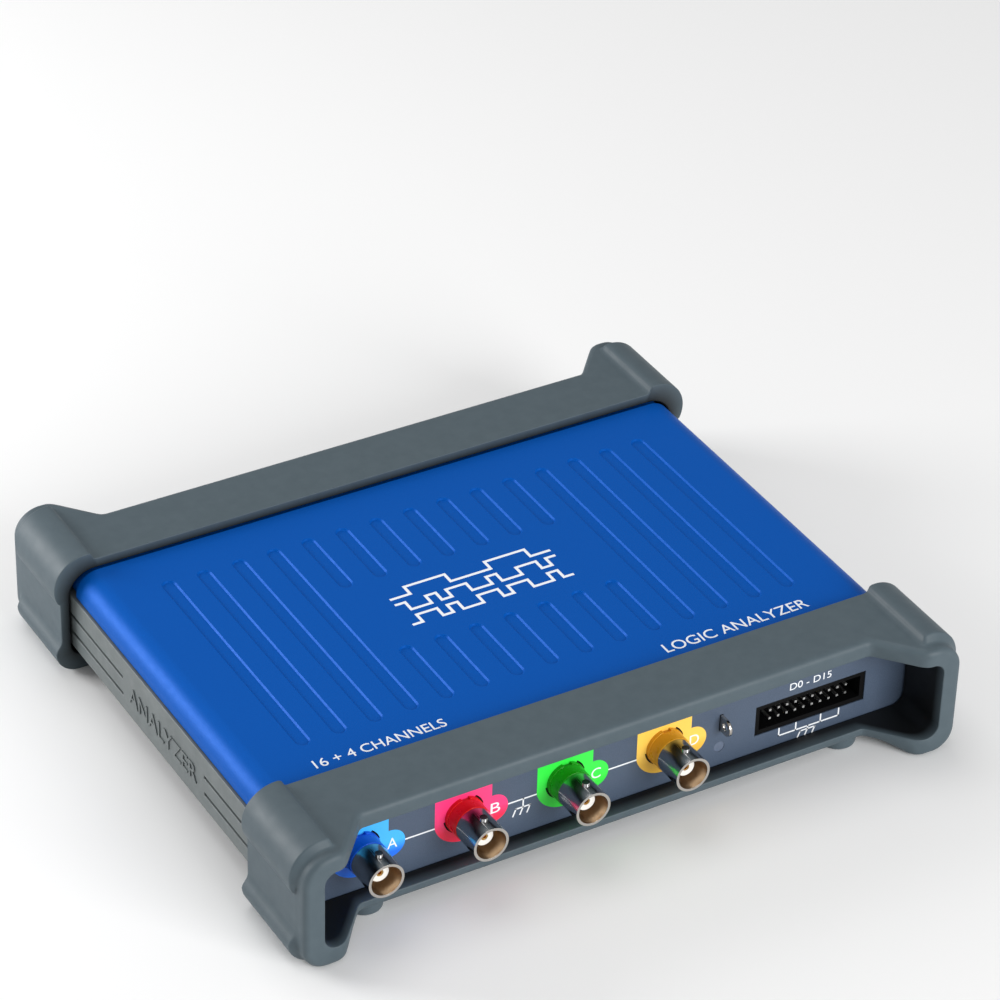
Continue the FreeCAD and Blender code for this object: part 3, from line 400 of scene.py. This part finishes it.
soft = {}
for name in ("left_side_rail", "right_side_rail", "bottom_cover"):
    soft[name] = soft_copy(name, 0.00025)
for socket in sockets:
    soft[f"{socket}_shell"] = soft_copy(f"{socket}_shell", 0.00016)
    soft[f"{socket}_housing"] = soft_copy(f"{socket}_housing", 0.0002)
    soft[f"{socket}_insulator"] = soft_copy(f"{socket}_insulator", 0.0001)
    soft[f"{socket}_contact"] = soft_copy(f"{socket}_contact", 0.00005)
soft["probe_tab"] = soft_copy("probe_tab", 0.0001)
soft["top_cover"] = soft_copy("top_cover", 0.0003, 30.0)

# %% [markdown]
# A bayonet shell is one plated piece, but its polish differs: the turned rim is bright, and
# the outside is duller, its darker colour partly painted shade. The bore's warm colour is a
# painted reflection. The faces are picked out by where they are and which way they look. In
# the same way the top of the coloured block behind each input is painted black as shade; it
# lies inside the closed case.

# %% Rims, bores with a painted reflection, and block tops painted as shade
RIM, BORE_REFLECTION, SHADED_BLOCK_TOP = 1, 2, 1      # places of the further materials on the two meshes
RIM_DEPTH = 0.0002
BOSS_RADIUS = 0.0053                # only the block's top has its middle further up than this


def middle_of(name):
    """The middle of a node's box."""
    low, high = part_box(name)
    return (low + high) / 2


for socket in sockets:
    shell = soft[f"{socket}_shell"].data
    middle = middle_of(f"{socket}_shell")
    tip = max(abs(corner.y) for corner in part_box(f"{socket}_shell"))
    shell.materials.append(nickel)
    shell.materials.append(bore_reflection_paint)
    for face in shell.polygons:
        outward = Vector((face.center.x - middle.x, 0, face.center.z - middle.z))
        if abs(face.center.y) > tip - RIM_DEPTH and abs(face.normal.y) > 0.7:
            face.material_index = RIM
        elif face.normal.dot(outward) < -0.3 * outward.length:
            face.material_index = BORE_REFLECTION
for letter in "abcd":
    housing = soft[f"input_{letter}_housing"].data
    axis_height = middle_of(f"input_{letter}_shell").z
    housing.materials.append(black_plastic_and_painted_shade)
    for face in housing.polygons:
        # painted shade: the top of each coloured block is made black
        if face.center.z - axis_height > BOSS_RADIUS:
            face.material_index = SHADED_BLOCK_TOP
print(len(soft), "smooth copies; the", len(sockets), "shells have a bright rim and a warm bore")

# %% [markdown]
# ## The rubber bumper
# Each bumper is one moulding: a ring round the end of the case, with a tall ear at each
# corner and a window for the connectors. Think of it as a tube that follows the window,
# so it can be drawn as a few closed loops with equally many points, each grown from the
# last. Bevelled loops give the soft, rounded edges of rubber. The numbers in the outlines
# are x and z in millimetres, for the right half of the front bumper.

# %% Outlines of the bumper
bumper_lo, bumper_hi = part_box("front_bumper")
print("front bumper from", [round(v / MM, 2) for v in bumper_lo], "to",
      [round(v / MM, 2) for v in bumper_hi])


def arc(x, z, radius, start, end, steps):
    """Points on a circle in the XZ plane, from the angle start to end in degrees."""
    found = []
    for k in range(steps + 1):
        turn = math.radians(start + (end - start) * k / steps)
        found.append((x + radius * math.cos(turn), z + radius * math.sin(turn)))
    return found


def spread(points, count):
    """Count points spaced evenly along a line of points, its last one left out."""
    lengths = [math.dist(a, b) for a, b in zip(points, points[1:])]
    whole = sum(lengths)
    found = []
    for k in range(count):
        wanted = whole * k / count
        for (a, b), length in zip(zip(points, points[1:]), lengths):
            if wanted <= length:
                part = wanted / length if length else 0
                found.append((a[0] + (b[0] - a[0]) * part, a[1] + (b[1] - a[1]) * part))
                break
            wanted -= length
    return found


TOP_X = (0, 20, 40, 58, 67, 71, 71.8, 72.6, 73.4, 74.2, 77, 79.6)
BOTTOM_X = (75.2, 73.4, 72.6, 71.8, 71, 67, 58, 40, 20, 0)
CORNER_START, FOOT_END = 81, 76     # the corner leaves the top here, and the foot ends here
CORNER_COUNT, SIDE_COUNT, FOOT_COUNT = 30, 14, 26
TOP_Z, BOTTOM_Z = 33.1, 2.6


def half_loop(top_z, corner, side, low, bottom_z):
    """Right half of a loop from the middle of the top to the middle of the bottom."""
    points = [(x, top_z) for x in TOP_X]
    points += spread([(CORNER_START, top_z)] + corner + [side[0]], CORNER_COUNT)
    points += spread(side + [low[0]], SIDE_COUNT)
    points += spread(low + [(FOOT_END, bottom_z)], FOOT_COUNT)
    return points + [(x, bottom_z) for x in BOTTOM_X]


def mirrored(half):
    """The whole loop: the right half, then its mirror image without the shared ends."""
    return half + [(-x, z) for x, z in reversed(half[1:-1])]


hump = half_loop(
    TOP_Z,
    arc(82.6, 34.6, 1.5, -90, -52, 4) + arc(85.2, 33.5, 1.7, 128, 90, 4)
    + arc(85.6, 26.0, 9.2, 90, -27, 20),
    [(93.34, 21.6), (93.3, 21.4), (93.3, 17)],
    [(93.3, 10.0), (93.4, 9.2), (94.7, 7.2)] + arc(88.6, 6.4, 6.4, 0, -90, 10)
    + [(82.2, 0), (81.3, 0.1), (76.4, 2.5)],
    BOTTOM_Z)
ring = half_loop(
    TOP_Z,
    arc(85.6, 25.5, 7.6, 90, 0, 16),
    [(93.2, 25.0), (93.2, 17)],
    [(93.2, 10.0), (93.2, 8.2)] + arc(86.9, 6.5, 6.3, 0, -90, 10)
    + [(82.2, 0.2), (81.3, 0.3), (76.4, 2.5)],
    BOTTOM_Z)
window = half_loop(
    28.4,
    arc(84.4, 25.0, 3.4, 90, 0, 12),
    [(87.8, 24.8), (87.8, 17)],
    [(87.8, 9.2)] + arc(84.4, 9.0, 3.4, 0, -90, 12),
    5.6)
hollow = half_loop(
    30.2,
    arc(83.3, 22.9, 7.3, 90, 0, 12),
    [(90.6, 22.8), (90.6, 17)],
    [(90.6, 8.0), (90.2, 6.4), (88.8, 5.0), (87.0, 4.6)],
    4.6)
print("loops of", len(mirrored(hump)), len(mirrored(ring)), len(mirrored(window)),
      len(mirrored(hollow)), "points")

# %% [markdown]
# Seen from above, the middle of the bumper stands back from the ears, and the step between
# them is a short slope with soft corners. One function gives that front line for any x, and
# the loops at the front follow it.

# %% The bumper's front line
LIP_HALF, EAR_HALF = 72.6, 82.5     # the slope between lip and ear begins and ends here
LIP_BEND, EAR_BEND = 0.9, 1.8       # half lengths of the two soft corners
LIP_Y, EAR_REACH = -70.7, 11.4      # the lip's front, and how far the ear stands before it


def eased(distance, reach):
    """Zero below minus reach, distance above plus reach, and a smooth bend between."""
    if distance <= -reach:
        return 0.0
    if distance >= reach:
        return distance
    return (distance + reach) ** 2 / (4 * reach)


def front_line(x):
    """Where the bumper's front is along y, at that x."""
    slope = EAR_REACH / (EAR_HALF - LIP_HALF)
    past_lip, past_ear = eased(abs(x) - LIP_HALF, LIP_BEND), eased(abs(x) - EAR_HALF, EAR_BEND)
    return LIP_Y - slope * (past_lip - past_ear)


for x in (60, LIP_HALF, 77.5, EAR_HALF, 90):
    print(f"x {x}: front at y {front_line(x):.2f} mm")

# %% [markdown]
# The real ring is moulded in one shot between a core and a cavity. Here the same surface is
# grown as a tube: from the edge over the case, along the outside, round the front face, back
# through the window and under the sleeve to where it began. Extruding keeps every loop
# joined to the last, so the skin is closed, and bevelling the loops in order of width keeps
# the wide roundings from running into the narrow ones. Two round pads stand under the lip.

# %% Bumper mesh
BACK_Y, SEAT_Y = -52.6, -65.9       # edge over the case, and the seat on the front panel
PAD_X, PAD_Y, PAD_RADIUS, PAD_HEIGHT = 68.6, -65.3, 5.0, 3.4


def edges_of(loop):
    """The edges that run from one point of the loop to the next."""
    return [a.link_edges[[e.other_vert(a) for e in a.link_edges].index(b)]
            for a, b in zip(loop, loop[1:] + loop[:1])]


def grown_from(shape, loop, outline, y_of):
    """Extrudes the loop and sets its twin on the outline, point by point."""
    out = bmesh.ops.extrude_edge_only(shape, edges=edges_of(loop))
    fresh = {v for v in out["geom"] if isinstance(v, bmesh.types.BMVert)}
    twins = []
    for point, (x, z) in zip(loop, outline):
        twin = [e.other_vert(point) for e in point.link_edges if e.other_vert(point) in fresh][0]
        twin.co = (x * MM, y_of(x) * MM, z * MM)
        twins.append(twin)
    return twins


def bumper_mesh():
    """The whole ring. Each station has an outline, its y, its rounding and its painted shade."""
    shape = bmesh.new()
    stations = [
        (hump, lambda x: BACK_Y, 0.9, 0.0),
        (hump, lambda x: front_line(x) + 4.9, 0.7, 0.0),
        (ring, lambda x: front_line(x) + 3.4, 0.6, 0.0),
        (ring, front_line, 1.7, 0.0),
        (window, front_line, 0.9, 0.0),
        # painted shade: from here inwards the window and the hollow are darkened to nearly black
        (window, lambda x: min(SEAT_Y - 0.8, front_line(x) + 3.4), 0, 1.0),
        (window, lambda x: SEAT_Y, 0.4, 1.0),
        (hollow, lambda x: SEAT_Y, 0, 1.0),
        (hollow, lambda x: BACK_Y, 0.5, 1.0),
    ]
    marks = shape.edges.layers.float.new("soften")
    painted_window_shade = shape.verts.layers.float.new("painted_window_shade")
    first = [shape.verts.new((x * MM, BACK_Y * MM, z * MM)) for x, z in mirrored(hump)]
    for a, b in zip(first, first[1:] + first[:1]):
        shape.edges.new((a, b))
    loop = first
    for half, y_of, width, painted_shade in stations[1:]:
        loop = grown_from(shape, loop, mirrored(half), y_of)
        for edge in edges_of(loop):
            edge[marks] = width
        for point in loop:
            point[painted_window_shade] = painted_shade
    loop = grown_from(shape, loop, mirrored(hump), stations[0][1])
    bmesh.ops.weld_verts(shape, targetmap=dict(zip(loop, first)))
    for edge in edges_of(first):
        edge[marks] = stations[0][2]
    bmesh.ops.recalc_face_normals(shape, faces=shape.faces)
    for width in sorted({station[2] for station in stations if station[2]}):
        chosen = [e for e in shape.edges if abs(e[marks] - width) < 1e-6]
        bmesh.ops.bevel(shape, geom=chosen, offset=width * MM, affect="EDGES", segments=3,
                        profile=0.5, material=-1, clamp_overlap=True, offset_type="OFFSET")
        print(f"rounded {len(chosen)} edges by {width} mm")
    return shape


shape = bumper_mesh()
for sign in (1, -1):
    place = Matrix.Translation((sign * PAD_X * MM, PAD_Y * MM, PAD_HEIGHT / 2 * MM))
    foot = bmesh.ops.create_cone(shape, cap_ends=True, segments=48,
                                 radius1=(PAD_RADIUS - 0.2) * MM, radius2=PAD_RADIUS * MM,
                                 depth=PAD_HEIGHT * MM, matrix=place)
    rim = [e for e in {e for v in foot["verts"] for e in v.link_edges}
           if all(v.co.z < 0.1 * MM for v in e.verts)]
    bmesh.ops.bevel(shape, geom=rim, offset=0.8 * MM, affect="EDGES", segments=3, profile=0.5,
                    material=-1)
for point in shape.verts:
    point.co.y = max(point.co.y, bumper_lo.y)
print("bumper:", len(shape.faces), "faces,", sum(1 for e in shape.edges if not e.is_manifold),
      "open edges")

# %% [markdown]
# One mould serves both ends, so the rear bumper is the front one turned half a turn. Each
# rides on its own body, because it can be pulled off the case.

# %% Both bumpers
SOFT_ANGLE = 50                     # rubber is shaded smooth over edges up to this angle


def finished(shape, name, material, body, *stands_for, angle=35.0):
    """Turns a bmesh into a piece that rides on a body, smooth but for its steep edges."""
    mesh = bpy.data.meshes.new(name)
    shape.to_mesh(mesh)
    mesh.materials.append(material)
    mesh.shade_smooth()
    mesh.set_sharp_from_angle(angle=math.radians(angle))
    piece = bpy.data.objects.new(name, mesh)
    bpy.context.scene.collection.objects.link(piece)
    if stands_for:
        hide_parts(*stands_for)
    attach(piece, body)
    return piece


front_bumper = finished(shape, "front_bumper_visual", rubber, "front_bumper", "front_bumper",
                        angle=SOFT_ANGLE)
bmesh.ops.rotate(shape, verts=shape.verts, cent=(0, 0, 0),
                 matrix=Matrix.Rotation(math.pi, 3, "Z"))
rear_bumper = finished(shape, "rear_bumper_visual", rubber, "rear_bumper", "rear_bumper",
                       angle=SOFT_ANGLE)
shape.free()
for piece in (front_bumper, rear_bumper):
    weighted = piece.modifiers.new("flat_faces", "WEIGHTED_NORMAL")
    weighted.keep_sharp = True
print("two bumpers,", len(front_bumper.data.polygons), "faces each")

# %% [markdown]
# ## Printing
# Ink is a film a few hundredths of a millimetre thick. Each mark is drawn as a flat outline
# and given that thickness, so it lies on the panel as real printing does. A placing matrix
# says which way the print reads: right along its first axis, up along its second.

# %% Ink helpers
face_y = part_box("front_overlay")[0].y
cover_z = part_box("top_cover")[1].z
rail_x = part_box("left_side_rail")[0].x
FRONT = Matrix(((1, 0, 0, 0), (0, 0, -1, face_y), (0, 1, 0, 0), (0, 0, 0, 1)))
REAR = Matrix(((-1, 0, 0, 0), (0, 0, 1, -face_y), (0, 1, 0, 0), (0, 0, 0, 1)))
COVER = Matrix.Translation((0, 0, cover_z))
LEFT = Matrix(((0, 0, -1, rail_x), (-1, 0, 0, 0), (0, 1, 0, 0), (0, 0, 0, 1)))
RIGHT = Matrix(((0, 0, 1, -rail_x), (1, 0, 0, 0), (0, 1, 0, 0), (0, 0, 0, 1)))
INK_GAP = 0.0000005                 # points of ink closer than this are one point


def flat(shape, outline, place, depth=0.05):
    """A film of ink in the shape of the outline, which is in millimetres."""
    points = [shape.verts.new(place @ Vector((u * MM, v * MM, 0))) for u, v in outline]
    face = shape.faces.new(points)
    grown = bmesh.ops.extrude_face_region(shape, geom=[face], use_keep_orig=True)
    lift = place.to_3x3() @ Vector((0, 0, depth * MM))
    raised = [v for v in grown["geom"] if isinstance(v, bmesh.types.BMVert)]
    bmesh.ops.translate(shape, verts=raised, vec=lift)


def bar(shape, start, end, width, place, depth=0.06):
    """A straight line of ink from start to end."""
    run = Vector(end) - Vector(start)
    side = Vector((-run.y, run.x)).normalized() * width / 2
    tip = run.normalized() * width / 2
    a, b = Vector(start) - tip, Vector(end) + tip
    flat(shape, [a + side, a - side, b - side, b + side], place, depth)


def lettering(shape, text, box_mm, place, depth=0.06):
    """Plain capitals that fill the box (left, bottom, width, height), in millimetres."""
    line = bpy.data.curves.new("lettering", "FONT")
    line.body = text
    line.extrude = depth / 2 * MM
    holder = bpy.data.objects.new("lettering", line)
    mesh = bpy.data.meshes.new_from_object(holder)
    bpy.data.objects.remove(holder)
    low = [min(v.co[i] for v in mesh.vertices) for i in (0, 1)]
    high = [max(v.co[i] for v in mesh.vertices) for i in (0, 1)]
    left, bottom, width, height = [value * MM for value in box_mm]
    scale_u, scale_v = width / (high[0] - low[0]), height / (high[1] - low[1])
    for v in mesh.vertices:
        v.co = place @ Vector((left + (v.co.x - low[0]) * scale_u,
                               bottom + (v.co.y - low[1]) * scale_v,
                               v.co.z + depth / 2 * MM))
    shape.from_mesh(mesh)
    bpy.data.meshes.remove(mesh)


def printed(shape, name, ink, body="case"):
    """Makes the collected marks one piece of printing."""
    bmesh.ops.remove_doubles(shape, verts=shape.verts, dist=INK_GAP)
    bmesh.ops.recalc_face_normals(shape, faces=shape.faces)
    piece = finished(shape, name, ink, body)
    shape.free()
    return piece


print("overlay at y", round(face_y / MM, 2), "cover at z", round(cover_z / MM, 2))

# %% [markdown]
# Each input stands on a patch of its own colour: a round lobe behind the connector, a
# straight part that runs up under the bumper's lip, and a small tab with the channel letter.
# Two thin black arcs are the shadow in the gap between the boss and its hole.

# %% Channel patches
AXIS_Z = 17.6                       # height of the inputs' axes
PATCH_TOP = 28.6                    # hidden under the bumper's lip
axis_x = {letter: middle_of(f"input_{letter}_shell").x / MM for letter in "abcd"}


def patch_outline(x):
    """The patch of the input at x, anticlockwise from the top left."""
    lobe = arc(x, AXIS_Z, 8.2, 193, 321, 26)
    tab = arc(x + 8.3, 16, 4.1, -118.5, 97, 26)
    return [(x - 8, PATCH_TOP)] + lobe + tab + [(x + 7.8, PATCH_TOP)]


for letter, x in axis_x.items():
    shape = bmesh.new()
    flat(shape, patch_outline(x), FRONT, 0.04)
    printed(shape, f"patch_{letter}", channel_inks[letter])

shape = bmesh.new()
for x in axis_x.values():
    for start, end in ((14, 54), (188, 236)):
        outer = arc(x, AXIS_Z, 5.62, start, end, 10)
        inner = arc(x, AXIS_Z, 5.1, start, end, 10)
        flat(shape, outer + inner[::-1], FRONT, 0.07)
printed(shape, "hole_shadows", black_plastic_and_painted_shade)
print("patches at x", [round(x, 1) for x in axis_x.values()])

# %% [markdown]
# White printing ties the inputs together: a letter on each tab, a line that joins the patches,
# and the sign for the chassis. The header has its channel names above it, and a bracket below
# it that says its outer pins are ground too.

# %% Marks on the front
LINE = 0.4                          # width of the thin lines
LINE_Z = 15.9
shape = bmesh.new()
for letter, x in axis_x.items():
    lettering(shape, letter.upper(), (x + 7.5, 14.6, 2.7, 3.1), FRONT, 0.08)
tabs = [x + 12.4 for x in axis_x.values()]
lobes = [x - 8.0 for x in axis_x.values()]
for start, end in zip(tabs, lobes[1:]):
    bar(shape, (start + 0.2, LINE_Z), (end - 0.2, LINE_Z), LINE, FRONT)


def chassis_mark(shape, x, top, foot, half, reach, place):
    """The sign for a chassis connection: a stem, a bar, and three slanted legs."""
    bar(shape, (x, top), (x, foot), LINE, place)
    bar(shape, (x - half, foot), (x + half, foot), LINE, place)
    for leg in (-half, 0, half):
        bar(shape, (x + leg, foot), (x + leg - 0.4 * reach, foot - reach), LINE, place)


chassis_mark(shape, -24.6, top=LINE_Z, foot=13.4, half=2.0, reach=2.0, place=FRONT)
lettering(shape, "D0 - D15", (52.6, 21.3, 12.5, 2.1), FRONT)
BRACKET_X, BRACKET_Z = (50.2, 55.3, 62.8, 68.3), 8.0
bar(shape, (BRACKET_X[0], BRACKET_Z), (BRACKET_X[-1], BRACKET_Z), LINE, FRONT)
for x in BRACKET_X:
    bar(shape, (x, BRACKET_Z), (x, 10.2), LINE, FRONT)
chassis_mark(shape, 59.0, top=BRACKET_Z, foot=7.1, half=2.2, reach=1.7, place=FRONT)
printed(shape, "front_marks", white_ink)
print("letters, ground marks and the header's name")

# %% [markdown]
# The rear panel has the plainest names a bench instrument can carry over its sockets, and the
# chassis sign over the earth socket.

# %% Marks on the rear
shape = bmesh.new()
for text, piece, width in (("GEN", "generator_shell", 7.5), ("TRIG", "trigger_shell", 8.5),
                           ("USB", "usb_shell", 7.0), ("DC", "power_jack_body", 4.8)):
    left = -middle_of(piece).x / MM - width / 2
    lettering(shape, text, (left, 24.6, width, 2.1), REAR)
chassis_mark(shape, -middle_of("earth_socket").x / MM, top=27.6, foot=26.2, half=1.8,
             reach=1.6, place=REAR)
printed(shape, "rear_marks", white_ink)
print("names over the rear sockets")

# %% [markdown]
# The cover carries a drawing of three digital signals, the plainest sign for what the
# instrument does, and two lines of plain words.

# %% Marks on the cover
def pulse_train(shape, levels, left, low, step, height, width):
    """A square wave as one outline: one digit for each step, low or high."""
    half = width / 2
    upper, lower = [], []
    heights = [int(digit) for digit in levels]
    befores, afters = heights[:1] + heights[:-1], heights[1:] + heights[-1:]
    for k, (before, level, after) in enumerate(zip(befores, heights, afters)):
        z = low + height * level
        for x, turn in ((left + k * step, level - before), (left + (k + 1) * step, after - level)):
            upper.append((x - turn * half, z + half))
            lower.append((x + turn * half, z - half))
    flat(shape, lower + upper[::-1], COVER)


shape = bmesh.new()
for row, levels in enumerate(("0110100110110010", "1001011001001101", "0011110000111100")):
    pulse_train(shape, levels, left=-23.6, low=-7.7 + row * 6.0, step=2.95, height=3.4,
                width=0.8)
lettering(shape, "16 + 4 CHANNELS", (-72.0, -48.0, 36.0, 3.2), COVER)
lettering(shape, "LOGIC ANALYZER", (27.0, -48.0, 42.5, 3.6), COVER)
printed(shape, "cover_marks", white_ink)

for place, name in ((LEFT, "left_rail_letters"), (RIGHT, "right_rail_letters")):
    shape = bmesh.new()
    lettering(shape, "ANALYZER", (-19.0, 12.6, 38.0, 5.0), place, 0.3)
    printed(shape, name, rail_plastic)
print("marks on the cover and the rails")

# %% [markdown]
# ## Floor, light and camera
# A plain pale floor, one large soft light in front, a small one close to the rear left
# corner, a broad and weak one above, and a bright surround that fills the shadows.

# %% Floor and lights
floor_shape = bmesh.new()
bmesh.ops.create_grid(floor_shape, x_segments=1, y_segments=1, size=6.0)
floor_mesh = bpy.data.meshes.new("floor")
floor_shape.to_mesh(floor_mesh)
floor_shape.free()
floor = bpy.data.objects.new("floor", floor_mesh)
bpy.context.scene.collection.objects.link(floor)
floor_paint = finish_of("pale_floor", (0.92, 0.92, 0.92, 1), 0.85)
floor_mesh.materials.append(floor_paint)

world = bpy.data.worlds.new("studio")
bpy.context.scene.world = world
world.use_nodes = True
world.node_tree.nodes["Background"].inputs["Color"].default_value = (1, 1, 1, 1)
world.node_tree.nodes["Background"].inputs["Strength"].default_value = 0.4


def softbox(name, place, target, size, power):
    """A square area light at place that faces target."""
    light = bpy.data.lights.new(name, "AREA")
    light.size = size
    light.energy = power
    lamp = bpy.data.objects.new(name, light)
    bpy.context.scene.collection.objects.link(lamp)
    lamp.location = place
    aim = Vector(target) - Vector(place)
    lamp.rotation_euler = aim.to_track_quat("-Z", "Y").to_euler()
    return lamp


softbox("front_light", (0.35, -1.3, 0.5), (0, 0, 0), size=0.8, power=17)
softbox("left_light", (-0.55, 0.5, 0.24), (-0.05, 0, 0.02), size=0.35, power=4.5)
softbox("top_light", (-0.1, 0.5, 1.4), (0, 0, 0), size=0.9, power=5)
print("three soft lights")

# %% [markdown]
# The camera looks down on the front left corner. It stands about a metre off with a long
# lens, and the plain view transform keeps the blue as strong as the paint is.

# %% Camera
lens_data = bpy.data.cameras.new("camera")
lens_data.lens = 144.87
lens_data.sensor_width = 36
lens_data.clip_start = 0.01
camera = bpy.data.objects.new("camera", lens_data)
bpy.context.scene.collection.objects.link(camera)
camera.location = (-0.42527, -0.72034, 0.62863)
camera.rotation_euler = [math.radians(turn) for turn in (55.6247, -1.3944, -29.9254)]
bpy.context.scene.camera = camera
bpy.context.scene.view_settings.view_transform = "Standard"
bpy.context.view_layer.update()
print("camera at", [round(v, 3) for v in camera.location])
